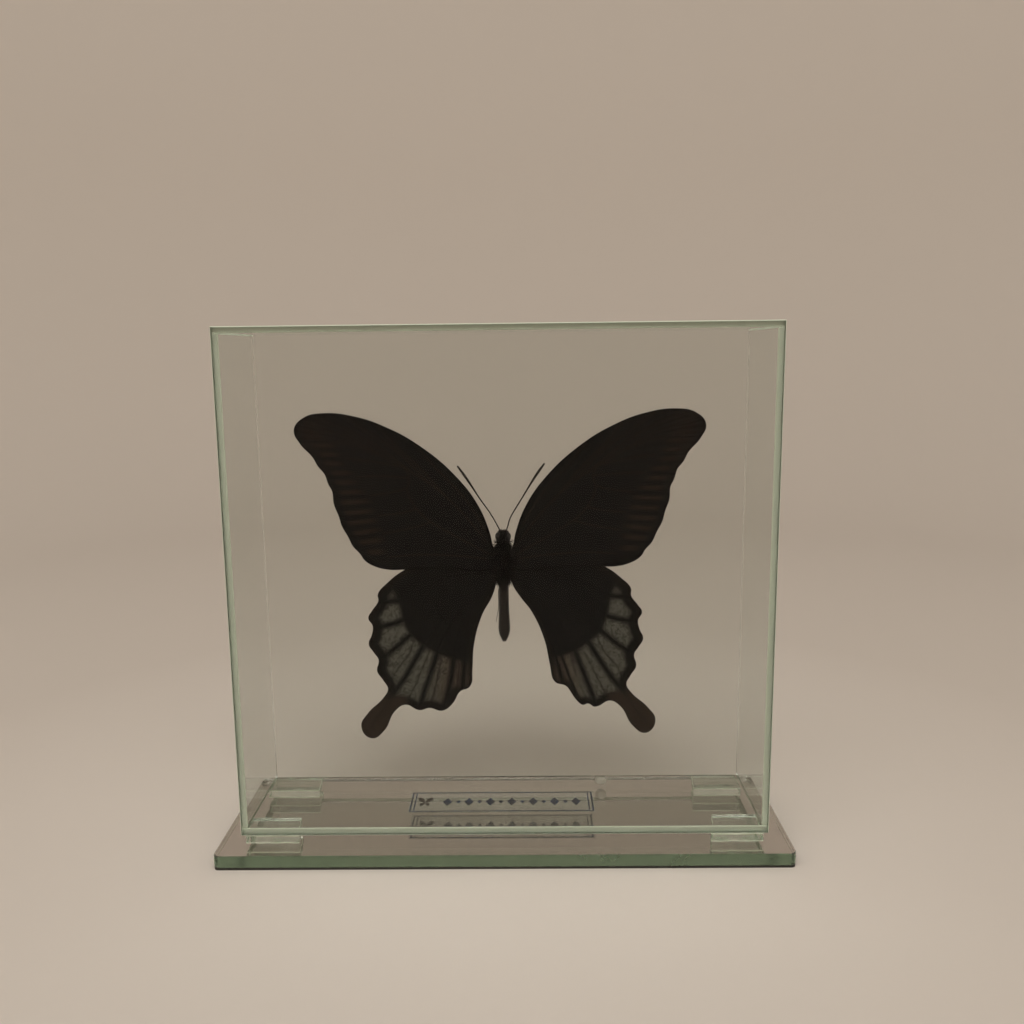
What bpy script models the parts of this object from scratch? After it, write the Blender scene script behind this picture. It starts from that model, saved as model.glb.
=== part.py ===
"""Mounted butterfly in a rectangular glass case that stands on a mirror base.

Units are metres and +Z is up. The origin is the centre of the base's underside, and the
front of the case faces -Y. The case is six thin panes, raised on four glass offcuts above
a mirror plate. The butterfly is held upright by its thorax, near the back pane, with its
upper side to the front.
"""

import math

import bpy
import bmesh

MM = 0.001
NAME = "butterfly_in_glass_case"

# Driving dimensions
GAP = 0.3 * MM            # glue line between pieces that touch
PANE = 2.0 * MM           # thickness of the case's glass
CASE_W = 170.0 * MM
CASE_D = 41.8 * MM
CASE_H = 161.7 * MM
EDGE = 0.15 * MM          # rubbed-down edge of a pane

BASE_W = 184.2 * MM
BASE_D = 56.6 * MM
BASE_T = 4.8 * MM         # glass and the dark backing under it
BASE_CORNER = 1.6 * MM    # radius of the base's corners in plan
BASE_ARRIS = 0.35 * MM    # polished bevel round the base's faces

FOOT_GAP = 2.9 * MM       # clear height between the base and the case
FOOT_T = FOOT_GAP - 2 * GAP

LABEL_W = 63.4 * MM
LABEL_D = 14.9 * MM
LABEL_T = 0.2 * MM
LABEL_X = -1.1 * MM
LABEL_Y = 0.3 * MM

# Heights worked out from the driving dimensions
CASE_Z0 = BASE_T + FOOT_GAP
CASE_Z1 = CASE_Z0 + CASE_H
FRONT_Y = -CASE_D / 2
BACK_Y = CASE_D / 2

# The butterfly hangs on its thorax, whose centre is the centre of its own outlines
THORAX = (0.25 * MM, 12.9 * MM, 91.0 * MM)
BODY_DEPTH = 1.3          # how much deeper the body is than it is wide
WING_T = 0.3 * MM
FOREWING_Y = 10.3 * MM
HINDWING_Y = 10.95 * MM   # the hindwing's front edge lies under the forewing
WING_PIVOT = (3.2, 0.0)   # mm from the thorax's centre

# Outlines of the right wings, in mm from the thorax's centre: x outwards, z up.
# A smooth curve runs through them: front edge, tip, outer margin, inner margin.
FOREWING = [
    (3.2, 2.6), (4.3, 10.0), (8.0, 19.4), (15.0, 29.2), (26.0, 39.2), (38.0, 46.3), (48.0, 49.9),
    (58.0, 51.1), (64.2, 49.8), (67.6, 45.9), (65.8, 41.2), (61.9, 36.6), (60.4, 33.6), (58.4, 31.0),
    (57.4, 27.6), (56.2, 25.0), (56.0, 21.0), (54.5, 16.4), (53.8, 13.4), (52.0, 9.9), (50.2, 6.0),
    (48.1, 3.7), (46.8, 1.5), (43.6, -0.7), (38.5, -2.1), (34.0, -2.2), (20.0, -1.9), (3.2, -1.2),
]
# Front edge, the rounded lobes and notches of the outer margin, the tail, and the inner margin.
HINDWING = [
    (3.2, -4.6), (5.5, -1.0), (14.0, 1.4), (25.0, 0.8), (34.6, -3.4), (39.8, -7.4), (43.2, -11.4),
    (43.1, -13.6), (45.4, -17.2), (46.7, -19.6), (45.3, -22.6), (45.7, -25.6), (46.9, -29.0),
    (45.2, -32.1), (43.7, -34.6), (44.3, -38.8), (42.2, -42.3), (40.8, -45.2), (42.4, -48.4),
    (48.0, -54.0), (50.6, -59.0), (47.2, -63.4), (42.6, -60.6), (38.7, -53.6), (35.0, -51.2),
    (30.0, -53.3), (26.6, -52.5), (22.0, -53.5), (18.3, -50.8), (15.7, -46.5), (12.2, -44.6),
    (11.2, -38.0), (10.5, -29.4), (7.4, -18.6), (4.0, -12.4),
]
# The specimen isn't quite even: how each wing is turned about its pivot, in degrees upwards,
# its size, and how far its inner margin is folded outwards, in degrees.
WINGS = {
    "forewing_left": (-1, FOREWING, FOREWING_Y, -0.9, 1.01, 0.0),
    "forewing_right": (1, FOREWING, FOREWING_Y, 0.0, 1.0, 0.0),
    "hindwing_left": (-1, HINDWING, HINDWING_Y, 0.0, 1.0, 0.0),
    "hindwing_right": (1, HINDWING, HINDWING_Y, 1.8, 1.0, 5.0),
}
FOLD_FROM = -64.0         # direction from the pivot where the inner margin's fold begins, degrees
FOLD_FULL = -74.0

# Half width of the body from the top of the head to the tip of the abdomen, in mm
BODY = [
    (0.0, 10.4), (1.4, 10.1), (2.4, 9.3), (2.8, 8.2), (2.5, 7.0), (1.9, 6.2), (2.3, 5.3), (2.6, 3.6),
    (2.7, 0.5), (2.7, -3.0), (2.5, -5.6), (2.0, -7.2), (1.6, -8.2), (1.65, -11.0), (1.65, -15.0),
    (1.75, -19.0), (1.95, -22.5), (2.0, -25.0), (1.7, -27.0), (0.9, -28.1), (0.0, -28.4),
]
# Antennae, in mm from the thorax's centre, from the head to the clubbed tip
ANTENNA_ROOT = 0.25 * MM
ANTENNA_CLUB = 0.45 * MM
ANTENNAE = {
    "antenna_left": [(-1.1, 10.6), (-4.3, 16.2), (-8.0, 21.6), (-11.5, 27.2), (-15.1, 32.4)],
    "antenna_right": [(1.1, 10.6), (2.7, 14.9), (6.4, 21.0), (10.9, 28.3), (14.2, 33.0)],
}

# Feet: glass offcuts with uneven corners, in mm. Outer x, inner x at the front, inner x at the
# back, front y, back y.
FEET = {
    "foot_front_left": (-83.6, -66.4, -67.5, -20.3, -10.5),
    "foot_front_right": (83.3, 66.7, 68.8, -20.6, -9.8),
    "foot_back_left": (-83.8, -66.0, -66.8, 9.8, 20.0),
    "foot_back_right": (82.6, 66.2, 67.4, 9.6, 20.1),
}

GLUE_BLOB = (34.4 * MM, 20.2 * MM)
GLUE_BLOB_R = 1.8 * MM
GLUE_MOUNT_R = 2.0 * MM


def clear_scene():
    for obj in list(bpy.data.objects):
        bpy.data.objects.remove(obj, do_unlink=True)


def collection(name):
    group = bpy.data.collections.new(name)
    bpy.context.scene.collection.children.link(group)
    return group


def material(name, color, roughness, metallic=0.0, transmission=0.0):
    mat = bpy.data.materials.new(name)
    mat.use_nodes = True
    shader = mat.node_tree.nodes["Principled BSDF"]
    shader.inputs["Base Color"].default_value = (*color, 1.0)
    shader.inputs["Roughness"].default_value = roughness
    shader.inputs["Metallic"].default_value = metallic
    shader.inputs["Transmission Weight"].default_value = transmission
    shader.inputs["IOR"].default_value = 1.5
    mat.diffuse_color = (*color, 1.0)
    return mat


def add_object(name, data, mat, group, location=(0.0, 0.0, 0.0)):
    data.materials.append(mat)
    obj = bpy.data.objects.new(name, data)
    obj.location = location
    group.objects.link(obj)
    return obj


def bevel(obj, width, segments, angle=60.0):
    mod = obj.modifiers.new("Bevel", "BEVEL")
    mod.width = width
    mod.segments = segments
    mod.limit_method = "ANGLE"
    mod.angle_limit = math.radians(angle)
    return mod


def box_mesh(name, size):
    mesh = bpy.data.meshes.new(name)
    shape = bmesh.new()
    bmesh.ops.create_cube(shape, size=1.0)
    bmesh.ops.scale(shape, vec=size, verts=shape.verts)
    shape.to_mesh(mesh)
    shape.free()
    return mesh


def pane(name, size, location, mat, group):
    """A flat sheet of glass with its edges rubbed down."""
    obj = add_object(name, box_mesh(name, size), mat, group, location)
    bevel(obj, EDGE, 1)
    return obj


def flat_outline(name, points, thickness, mat, group, location, smooth):
    """A flat piece of even thickness: a filled 2D curve through points given in metres."""
    curve = bpy.data.curves.new(name, "CURVE")
    curve.dimensions = "2D"
    curve.fill_mode = "BOTH"
    curve.extrude = thickness / 2
    curve.resolution_u = 4
    if smooth:
        spline = curve.splines.new("BEZIER")
        spline.bezier_points.add(len(points) - 1)
        for knot, (x, y) in zip(spline.bezier_points, points):
            knot.co = (x, y, 0.0)
            knot.handle_left_type = "AUTO"
            knot.handle_right_type = "AUTO"
    else:
        spline = curve.splines.new("POLY")
        spline.points.add(len(points) - 1)
        for knot, (x, y) in zip(spline.points, points):
            knot.co = (x, y, 0.0, 1.0)
    spline.use_cyclic_u = True
    return add_object(name, curve, mat, group, location)


def turned(name, profile, steps, mat, group, location):
    """A round piece: a profile of (radius, height) in metres, turned about Z."""
    mesh = bpy.data.meshes.new(name)
    verts = [(radius, 0.0, height) for radius, height in profile]
    edges = [(i, i + 1) for i in range(len(verts) - 1)]
    mesh.from_pydata(verts, edges, [])
    obj = add_object(name, mesh, mat, group, location)
    screw = obj.modifiers.new("Screw", "SCREW")
    screw.steps = steps
    screw.render_steps = steps
    screw.use_merge_vertices = True
    screw.merge_threshold = 0.00001
    screw.use_smooth_shade = True
    return obj


def mirror_base(mat, group):
    mesh = bpy.data.meshes.new("mirror_base")
    shape = bmesh.new()
    bmesh.ops.create_cube(shape, size=1.0)
    bmesh.ops.scale(shape, vec=(BASE_W, BASE_D, BASE_T), verts=shape.verts)
    upright = [e for e in shape.edges if abs(e.verts[0].co.z - e.verts[1].co.z) > BASE_T / 2]
    bmesh.ops.bevel(
        shape, geom=upright, offset=BASE_CORNER, offset_type="OFFSET", segments=6, profile=0.5,
        affect="EDGES",
    )
    shape.to_mesh(mesh)
    shape.free()
    obj = add_object("mirror_base", mesh, mat, group, (0.0, 0.0, BASE_T / 2))
    bevel(obj, BASE_ARRIS, 2)
    return obj


def feet(mat, group):
    z = BASE_T + GAP + FOOT_T / 2
    for name, (outer, inner_front, inner_back, front, back) in FEET.items():
        corners = [(outer, front), (inner_front, front), (inner_back, back), (outer, back)]
        points = [(x * MM, y * MM) for x, y in corners]
        flat_outline(name, points, FOOT_T, mat, group, (0.0, 0.0, z), smooth=False)


def case(mat, group):
    inner_d = CASE_D - 2 * (PANE + GAP)
    inner_h = CASE_H - 2 * (PANE + GAP)
    mid_z = (CASE_Z0 + CASE_Z1) / 2
    side_x = CASE_W / 2 - PANE / 2
    face_y = CASE_D / 2 - PANE / 2
    pane("case_front", (CASE_W, PANE, CASE_H), (0.0, -face_y, mid_z), mat, group)
    pane("case_back", (CASE_W, PANE, CASE_H), (0.0, face_y, mid_z), mat, group)
    pane("case_left", (PANE, inner_d, inner_h), (-side_x, 0.0, mid_z), mat, group)
    pane("case_right", (PANE, inner_d, inner_h), (side_x, 0.0, mid_z), mat, group)
    pane("case_floor", (CASE_W, inner_d, PANE), (0.0, 0.0, CASE_Z0 + PANE / 2), mat, group)
    pane("case_top", (CASE_W, inner_d, PANE), (0.0, 0.0, CASE_Z1 - PANE / 2), mat, group)


def label(mat, group):
    """A clear film stuck to the underside of the case's floor."""
    z = CASE_Z0 - GAP - LABEL_T / 2
    size = (LABEL_W, LABEL_D, LABEL_T)
    return add_object("label", box_mesh("label", size), mat, group, (LABEL_X, LABEL_Y, z))


def glue_blob(mat, group):
    """A drop squeezed between the base and the case, wider at its middle."""
    steps = 6
    height = FOOT_GAP - 2 * GAP
    profile = [(0.0, height / 2)]
    for i in range(steps + 1):
        t = i / steps
        radius = GLUE_BLOB_R * (0.7 + 0.3 * math.sin(math.pi * t))
        profile.append((radius, height * (0.5 - t)))
    profile.append((0.0, -height / 2))
    z = BASE_T + FOOT_GAP / 2
    return turned("glue_blob", profile, 16, mat, group, (*GLUE_BLOB, z))


def wing_outline(outline, side, turn, scale, fold):
    """The wing's outline in metres from the thorax's centre, for a side of -1 or 1."""
    points = []
    for x, z in outline:
        dx = x - WING_PIVOT[0]
        dz = z - WING_PIVOT[1]
        radius = math.hypot(dx, dz) * scale
        angle = math.degrees(math.atan2(dz, dx))
        share = min(max((FOLD_FROM - angle) / (FOLD_FROM - FOLD_FULL), 0.0), 1.0)
        if radius > 12.0:
            angle += fold * share
        angle = math.radians(angle + turn)
        px = WING_PIVOT[0] + radius * math.cos(angle)
        pz = WING_PIVOT[1] + radius * math.sin(angle)
        points.append((side * px * MM, pz * MM))
    return points


def wings(mat, group):
    for name, (side, outline, y, turn, scale, fold) in WINGS.items():
        points = wing_outline(outline, side, turn, scale, fold)
        location = (THORAX[0], y, THORAX[2])
        obj = flat_outline(name, points, WING_T, mat, group, location, smooth=True)
        obj.rotation_euler = (math.pi / 2, 0.0, 0.0)


def body(mat, group):
    profile = [(radius * MM, height * MM) for radius, height in BODY]
    obj = turned("butterfly_body", profile, 16, mat, group, THORAX)
    obj.scale = (1.0, BODY_DEPTH, 1.0)
    return obj


def antennae(mat, group):
    for name, points in ANTENNAE.items():
        curve = bpy.data.curves.new(name, "CURVE")
        curve.dimensions = "3D"
        curve.bevel_depth = 1.0
        curve.bevel_resolution = 2
        curve.resolution_u = 4
        curve.use_fill_caps = True
        spline = curve.splines.new("BEZIER")
        spline.bezier_points.add(len(points) - 1)
        for i, (knot, (x, z)) in enumerate(zip(spline.bezier_points, points)):
            knot.co = (x * MM, 0.0, z * MM)
            knot.handle_left_type = "AUTO"
            knot.handle_right_type = "AUTO"
            knot.radius = ANTENNA_CLUB if i == len(points) - 1 else ANTENNA_ROOT
        add_object(name, curve, mat, group, THORAX)


def mounting_glue(mat, group):
    """A clear drop between the thorax and the back pane, turned about Y."""
    front = THORAX[1] + 2.7 * MM * BODY_DEPTH + GAP
    back = BACK_Y - PANE - GAP
    depth = back - front
    steps = 6
    profile = [(0.0, depth / 2)]
    for i in range(steps + 1):
        t = i / steps
        profile.append((GLUE_MOUNT_R * (0.75 + 0.5 * (t - 0.5) ** 2 * 2), depth * (0.5 - t)))
    profile.append((0.0, -depth / 2))
    obj = turned("mounting_glue", profile, 16, mat, group, (THORAX[0], (front + back) / 2, THORAX[2]))
    obj.rotation_euler = (math.pi / 2, 0.0, 0.0)
    return obj


def main():
    clear_scene()
    group = collection(NAME)
    glass = material("case_glass", (0.80, 0.86, 0.78), 0.02, transmission=1.0)
    mirror = material("mirror_glass", (0.42, 0.40, 0.36), 0.03, metallic=0.9)
    film = material("label_film", (0.62, 0.62, 0.58), 0.35)
    white_glue = material("white_glue", (0.80, 0.78, 0.68), 0.45)
    clear_glue = material("clear_glue", (0.85, 0.86, 0.82), 0.15, transmission=0.8)
    wing = material("wing_scales", (0.035, 0.026, 0.021), 0.75)
    fur = material("body_hair", (0.030, 0.024, 0.020), 0.85)
    mirror_base(mirror, group)
    feet(glass, group)
    case(glass, group)
    label(film, group)
    glue_blob(white_glue, group)
    body(fur, group)
    wings(wing, group)
    antennae(fur, group)
    mounting_glue(clear_glue, group)


main()
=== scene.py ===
"""Looks of the mounted butterfly in its glass case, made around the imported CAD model.

Metres, +Z up, the front faces -Y, and the origin is the centre of the base's underside.
Outlines of the butterfly are in mm from the centre of its thorax: x outwards, z up.
"""

import math
import random

import bmesh
import bpy
import numpy as np
from mathutils import Matrix, Vector
from mathutils.geometry import delaunay_2d_cdt


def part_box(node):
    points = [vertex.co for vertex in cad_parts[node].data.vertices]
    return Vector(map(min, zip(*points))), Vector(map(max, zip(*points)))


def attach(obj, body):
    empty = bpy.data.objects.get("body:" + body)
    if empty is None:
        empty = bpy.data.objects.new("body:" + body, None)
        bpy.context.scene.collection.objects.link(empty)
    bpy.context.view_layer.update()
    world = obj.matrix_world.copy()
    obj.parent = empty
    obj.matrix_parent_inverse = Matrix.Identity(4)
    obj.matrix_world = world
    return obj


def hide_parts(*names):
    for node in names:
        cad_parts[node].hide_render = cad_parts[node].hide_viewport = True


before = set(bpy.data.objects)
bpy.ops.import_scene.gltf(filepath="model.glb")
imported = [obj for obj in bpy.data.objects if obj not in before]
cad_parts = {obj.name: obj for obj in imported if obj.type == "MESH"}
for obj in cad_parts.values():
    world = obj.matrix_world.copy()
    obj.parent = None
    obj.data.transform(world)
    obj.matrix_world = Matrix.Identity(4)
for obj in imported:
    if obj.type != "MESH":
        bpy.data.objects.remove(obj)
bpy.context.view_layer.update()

MM = 0.001

# Camera
CAMERA_AT = (7.3 * MM, -304.7 * MM, 160.2 * MM)
CAMERA_DOWN = 9.44        # degrees below the horizon
CAMERA_LEFT = 0.71        # degrees towards -X
CAMERA_ROLL = -0.66
CAMERA_LENS = 33.3        # mm
CAMERA_SENSOR = 36.0      # mm

# Studio
FLOOR_R = 0.60            # flat part of the floor
COVE_R = 0.40
WALL_H = 1.7
STUDIO = (0.88, 0.83, 0.785)
STUDIO_FAR = (0.725, 0.67, 0.62)
STUDIO_TURNS = (0.05, 0.26)   # metres out, over which STUDIO turns to STUDIO_FAR
LAMP_SIZE = (1.5, 1.1)
LAMP_AT = (-0.10, -0.80, 1.20)
LAMP_AIM = (0.0, 0.20, 0.15)
LAMP_POWER = 16.4
LAMP_COLOR = (1.0, 0.955, 0.875)
SKY = (1.0, 0.96, 0.89)
SKY_STRENGTH = 0.10
BOUNCES = 28              # enough for light to leave the thick glass

# Glass case
JOINT = 0.03 * MM         # glue line between panes
ARRIS = 0.24 * MM         # rubbed-down edges of a pane
GLASS_IOR = 1.52
GLASS_GLOSS = (0.09, 0.09, 0.09)   # much less than real glass, or the studio hazes the front pane
GLASS_CLEAR = (0.905, 0.905, 0.895)
GLASS_TINT = (0.75, 0.90, 0.82)
GLASS_DENSITY = 40.0      # per metre
BASE_CLEAR = (0.97, 0.98, 0.97)
BASE_TOP_PAINTED_SHADE = (0.83, 0.76, 0.77)   # top face, tinted darker and warmer: painted shade on the mirror's reflection
BASE_TINT = (0.60, 0.74, 0.64)
BASE_DENSITY = 46.0

# Mirror base
BASE_CORNER = 1.6 * MM
BASE_ARRIS = 0.35 * MM
BASE_SATIN = 0.24         # roughness of the rubbed edge
BACKING_AND_SHADOW_T = 0.85 * MM       # dark backing under the silvered glass; part of its thickness and darkness is painted contact shadow under the base
BACKING_AND_SHADOW_INSET = 0.06 * MM
BACKING_AND_SHADOW_GAP = 0.01 * MM

# Label, printed under the floor pane
FILM_GAP = 0.05 * MM
FILM_T = 0.09 * MM
INK_GAP = 0.005 * MM
INK_T = 0.03 * MM
PRINT_MARGIN = 0.5 * MM   # from the film's edge to the printed frame
FRAME_LINE = 0.55 * MM
BAR_LINE = 0.4 * MM       # two upright bars inside the frame
BAR_IN = 1.35 * MM
BAR_END = 0.9 * MM
LOZENGES = 13
LOZENGE = (1.6 * MM, 2.9 * MM), (0.8 * MM, 1.3 * MM)   # half width and height of tall and small ones
ORNAMENT_X = 3.4 * MM     # from the film's middle
ORNAMENT_LENGTH = 44.0 * MM
MARK_X = 5.4 * MM         # from the film's left edge
MARK_SIZE = (2.7 * MM, 4.2 * MM)
BLUE_INK = (0.003, 0.022, 0.075), (0.005, 0.030, 0.095)
BROWN_INK = (0.008, 0.005, 0.004), (0.018, 0.012, 0.009)

# Glue
GLUE_GAP = 0.03 * MM
SPOT_R = 1.25             # mm, where the spot meets the glass
SPOT_BULGE = 0.7
DROP_NECK = 1.35          # mm, the drop's smallest radius
DROP_FLARE = 1.1

# Feet: outer x, inner x at the front, inner x at the back, front y, back y, in mm
FEET = {
    "foot_front_left": (-83.6, -66.4, -67.5, -20.3, -10.5),
    "foot_front_right": (83.3, 66.7, 68.8, -20.6, -9.8),
    "foot_back_left": (-83.8, -66.0, -66.8, 9.8, 20.0),
    "foot_back_right": (82.6, 66.2, 67.4, 9.6, 20.1),
}
FOOT_GAP = 0.02 * MM
FOOT_LEVELS = (0.0, 0.11, 0.3, 0.7, 0.89, 1.0)   # shares of the height; the first and last bands are chipped
FOOT_SWELL = 0.22         # mm
FOOT_WANDER = 0.22        # mm
FOOT_STEPS = 18           # points along a side
NODE_OF_FOOT = {
    "offcut_front_left": "foot_front_left",
    "offcut_front_right": "foot_front_right",
    "offcut_back_left": "foot_back_left",
    "offcut_back_right": "foot_back_right",
}

# Butterfly
THORAX = Vector((0.25 * MM, 12.9 * MM, 91.0 * MM))
BODY_DEPTH = 1.3          # how much deeper the body is than it is wide
FOREWING_Y = 10.3
HINDWING_Y = 10.95
WING_PIVOT = (3.2, 0.0)
WING_T = 0.10             # mm
WING_GRID = 0.42          # mm between the points of a wing's mesh
FOREWING = [
    (2.0, 2.2), (3.2, 5.0), (4.3, 10.0), (8.0, 19.4), (15.0, 29.2), (26.0, 39.2), (38.0, 46.3),
    (48.0, 49.9), (58.0, 51.1), (64.2, 49.8), (67.6, 45.9), (65.8, 41.2), (61.9, 36.6), (60.4, 33.6),
    (58.4, 31.0), (57.4, 27.6), (56.2, 25.0), (56.0, 21.0), (54.5, 16.4), (53.8, 13.4), (52.0, 9.9),
    (50.2, 6.0), (48.1, 3.7), (46.8, 1.5), (43.6, -0.7), (38.5, -2.1), (34.0, -2.2), (20.0, -1.9),
    (2.0, -1.2),
]
HINDWING = [
    (2.0, -1.2), (5.5, -0.3), (14.0, 1.4), (25.0, 0.8), (34.6, -3.4), (39.8, -7.4), (43.2, -11.4),
    (43.1, -13.6), (45.4, -17.2), (46.7, -19.6), (45.3, -22.6), (45.7, -25.6), (46.9, -29.0),
    (45.2, -32.1), (43.7, -34.6), (44.3, -38.8), (42.2, -42.3), (40.8, -45.2), (42.4, -48.4),
    (48.0, -54.0), (50.6, -59.0), (47.2, -63.4), (42.6, -60.6), (38.7, -53.6), (35.0, -51.2),
    (30.0, -53.3), (26.6, -52.5), (22.0, -53.5), (18.3, -50.8), (15.7, -46.5), (12.2, -44.6),
    (11.2, -38.0), (10.5, -29.4), (7.4, -18.6), (4.0, -12.4), (2.2, -6.0),
]
# side, y, turn in degrees, size, and fold of the inner margin in degrees
WINGS = {
    "forewing_left": (-1, FOREWING_Y, -0.9, 1.01, 0.0),
    "forewing_right": (1, FOREWING_Y, 0.0, 1.0, 0.0),
    "hindwing_left": (-1, HINDWING_Y, 0.0, 1.0, 0.0),
    "hindwing_right": (1, HINDWING_Y, 1.8, 1.0, 5.0),
}
FOLD_FROM = -64.0
FOLD_FULL = -74.0

FORE_VEINS = [
    [(2.0, 1.2), (8.0, 4.4), (16.0, 9.0), (22.5, 12.9), (25.6, 15.3), (28.4, 18.4), (30.7, 22.4),
     (31.3, 25.5)],
    [(28.4, 18.4), (34.4, 17.1), (44.5, 16.4), (54.3, 15.9)],
    [(23.9, 13.8), (30.0, 12.1), (38.0, 10.7), (51.2, 8.7)],
    [(31.3, 25.5), (37.3, 24.1), (46.5, 23.2), (56.0, 22.9)],
    [(31.3, 25.5), (30.4, 28.0), (30.7, 30.4), (32.0, 32.5)],
    [(30.4, 29.0), (39.0, 29.7), (48.0, 29.8), (58.0, 29.6)],
    [(32.0, 32.5), (42.0, 34.7), (52.0, 35.9), (61.6, 36.2)],
    [(2.0, 1.8), (8.0, 10.2), (15.0, 18.7), (23.0, 26.3), (32.0, 32.5)],
    [(32.0, 32.5), (42.0, 38.0), (52.0, 41.4), (66.4, 42.2)],
    [(39.0, 36.6), (51.0, 43.4), (66.5, 47.6)],
    [(30.0, 31.4), (42.0, 40.8), (54.0, 47.3), (62.0, 50.2)],
    [(24.0, 27.2), (34.0, 37.7), (44.0, 45.0), (51.0, 50.3)],
    [(18.0, 21.8), (27.0, 32.4), (35.0, 40.4), (40.0, 46.8)],
    [(2.6, 2.6), (6.5, 12.0), (13.0, 22.6), (22.0, 32.6), (28.0, 40.2)],
    [(2.0, 0.4), (14.0, 2.0), (28.0, 2.8), (40.0, 2.2), (47.6, 2.4)],
]
# Where the forewing's pale rays begin, as x at each height
RAYS_FROM = [
    (37.0, -1.0), (38.5, 5.5), (38.6, 9.1), (39.5, 12.7), (40.6, 16.6), (41.6, 20.8), (43.6, 24.5),
    (46.0, 27.5), (47.6, 31.4), (50.2, 33.6), (51.0, 37.0), (52.5, 40.5), (58.0, 46.0),
]
HIND_VEINS = [
    [(2.4, -4.2), (10.0, -4.0), (20.0, -5.5), (29.0, -9.6), (35.7, -13.5), (43.1, -14.2)],
    [(20.0, -5.5), (27.0, -14.0), (34.4, -20.3), (41.0, -22.5), (45.0, -23.3)],
    [(22.5, -16.5), (28.0, -21.6), (33.8, -27.0), (40.0, -32.3), (43.6, -34.2)],
    [(20.5, -20.0), (24.5, -25.0), (28.3, -30.2), (34.6, -40.9), (39.2, -47.2), (42.7, -52.7), (47.5, -58.9)],
    [(18.6, -21.5), (21.0, -27.0), (23.6, -33.4), (25.9, -40.1), (28.8, -48.7), (30.0, -53.0)],
    [(13.0, -15.0), (15.6, -25.5), (17.6, -34.7), (19.1, -43.8), (21.6, -53.2)],
    [(3.0, -7.5), (8.4, -18.0), (12.0, -28.0), (13.7, -34.8), (14.8, -45.6)],
    [(2.8, -5.5), (8.0, -10.0), (13.0, -15.0), (18.6, -21.5), (20.5, -20.0), (22.5, -16.5), (21.0, -10.0),
     (17.0, -4.8)],
]
HIND_FOLDS = [
    [(31.2, -27.9), (33.1, -32.8), (37.7, -38.9), (40.5, -45.0)],
    [(26.1, -32.0), (31.2, -43.7), (34.9, -51.0)],
    [(21.9, -34.0), (23.9, -43.7), (26.4, -52.3)],
    [(15.8, -36.5), (16.7, -45.6)],
]
# The inner edge of the hindwing's pale band, from the front edge round to the inner margin,
# closed through the wing's dark centre
BAND_INNER = [
    (40.5, -3.0), (38.3, -7.2), (35.9, -13.2), (34.6, -19.6), (32.4, -25.4), (28.9, -28.6), (23.7, -32.2),
    (18.2, -34.0), (13.4, -35.6), (9.0, -35.0), (0.0, -20.0), (0.0, 4.0), (38.0, 4.0),
]

CUTTING_VEINS = 7         # the last of HIND_VEINS goes round the cell and does not cut the pale band
# Ground, brown and pale colours of the wings
UPPER_SCALES = (0.0025, 0.0020, 0.0018), (0.027, 0.0165, 0.0115), (0.112, 0.108, 0.092)
UNDER_SCALES = (0.0046, 0.0036, 0.0030), (0.029, 0.0195, 0.014), (0.136, 0.128, 0.108)

# Half width of the body from the top of the head to the tip of the abdomen
HEAD = [(0.5, 10.3), (1.3, 10.0), (1.8, 9.2), (2.0, 8.2), (1.9, 7.1), (1.6, 6.2), (0.6, 5.6)]
CHEST = [
    (0.8, 6.7), (1.7, 6.2), (2.2, 5.3), (2.55, 3.6), (2.7, 0.5), (2.65, -3.0), (2.4, -5.6), (1.9, -7.2),
    (0.8, -8.2),
]
ABDOMEN = [
    (0.9, -6.4), (1.45, -7.6), (1.6, -9.4), (1.65, -11.6), (1.65, -14.2), (1.7, -17.0), (1.8, -19.8),
    (1.95, -22.6), (1.98, -24.6), (1.55, -26.7), (0.7, -28.2), (0.25, -28.6),
]
SEGMENT = 2.45            # mm, length of the abdomen's segments
SEGMENT_FROM = 7.5
CHEST_HALF = 2.5          # mm, half width where the glue holds the thorax
EYE = (1.45, -1.0, 8.3)   # mm from the thorax's centre, on the right
EYE_R = (1.25, 1.55, 1.6)
# Hair all over a part: how many, seed, shortest and longest, radius, and how far it lies down
CHEST_HAIR = (2600, 21, (0.7, 1.7), 0.030, 0.75)
HEAD_HAIR = (1300, 23, (0.4, 0.95), 0.030, -0.1)
ABDOMEN_HAIR = (1500, 25, (0.25, 0.6), 0.026, 1.6)
DARK_HAIR = (0.0008, 0.0007, 0.0006), (0.110, 0.097, 0.088)
BROWN_HAIR = (0.0119, 0.0079, 0.0066), (0.0561, 0.0449, 0.0370)
# Tufts of hair: centre, spread and direction, how many, seed, shortest and longest, and radius
RUMP_TUFT = ((0.0, -2.2, -6.6), (1.3, 0.7, 0.7), (0.0, -0.2, -1.0), 620, 22, (1.0, 2.2), 0.036)
FRONT_TUFT = ((0.0, -3.3, 0.5), (1.1, 0.15, 3.3), (0.0, -0.3, -0.9), 60, 45, (1.0, 1.9), 0.075)
FACE_TUFT = ((0.0, -1.6, 9.4), (0.55, 0.3, 0.4), (0.0, -0.9, 0.6), 160, 24, (0.4, 0.9), 0.026)
SIDE_TUFTS = [
    ((2.1, -2.0, 3.6), (0.35, 0.4, 1.3), (0.9, -0.3, -0.8), 420, 27, (0.9, 1.9), 0.036),
    ((1.5, -1.8, 6.6), (0.6, 0.5, 0.3), (0.8, -0.4, 0.2), 260, 31, (0.5, 1.1), 0.032),
    ((2.0, -2.7, 0.8), (0.5, 0.3, 3.0), (0.9, -0.2, -0.35), 70, 41, (1.2, 2.4), 0.08),
    ((2.7, -0.6, -2.0), (0.3, 0.5, 2.2), (1.0, -0.2, -0.6), 300, 35, (0.8, 1.6), 0.034),
]
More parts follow.
